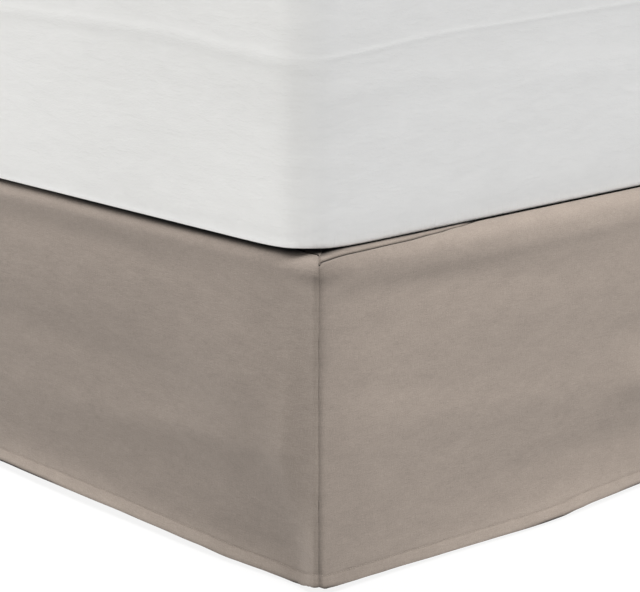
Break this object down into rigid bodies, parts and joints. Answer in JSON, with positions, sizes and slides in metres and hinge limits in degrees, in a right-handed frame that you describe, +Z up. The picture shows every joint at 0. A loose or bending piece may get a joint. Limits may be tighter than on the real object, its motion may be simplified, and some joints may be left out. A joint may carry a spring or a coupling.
{
  "type": "bed skirt with bed and mattress",
  "caption": "Tailored bed skirt with flat drops, narrow hems and slit foot corners, on a plain box base with a steel frame, under a white-covered mattress.",
  "frame": {"origin": "middle of the bed's footprint, on the floor", "axes": "+Y towards the head of the bed, +X towards its right side seen from the foot, +Z up"},
  "size_m": [1.559, 2.0408, 0.7103],
  "materials": {
    "taupe_cloth": "matt plain-woven cloth, taupe, with a faint sheen",
    "white_cover": "soft matt white cover cloth with fine wrinkles",
    "base_cloth": "plain off-white cover of the box base",
    "frame_steel": "dark powder-coated steel",
    "glide_plastic": "matt dark plastic"
  },
  "bodies": {
    "root": {"deck": "taupe_cloth", "drop_foot": "taupe_cloth", "drop_right": "taupe_cloth", "drop_left": "taupe_cloth", "corner_insert_right": "taupe_cloth", "corner_insert_left": "taupe_cloth", "mattress": "white_cover", "base": "base_cloth", "rail_right": "frame_steel", "rail_left": "frame_steel", "cross_foot": "frame_steel", "cross_middle": "frame_steel", "cross_head": "frame_steel", "leg_right_foot": "frame_steel", "leg_right_middle": "frame_steel", "leg_right_head": "frame_steel", "leg_left_foot": "frame_steel", "leg_left_middle": "frame_steel", "leg_left_head": "frame_steel", "leg_centre": "frame_steel", "glide_right_foot": "glide_plastic", "glide_right_middle": "glide_plastic", "glide_right_head": "glide_plastic", "glide_left_foot": "glide_plastic", "glide_left_middle": "glide_plastic", "glide_left_head": "glide_plastic", "glide_centre": "glide_plastic"}
  },
  "joints": []
}
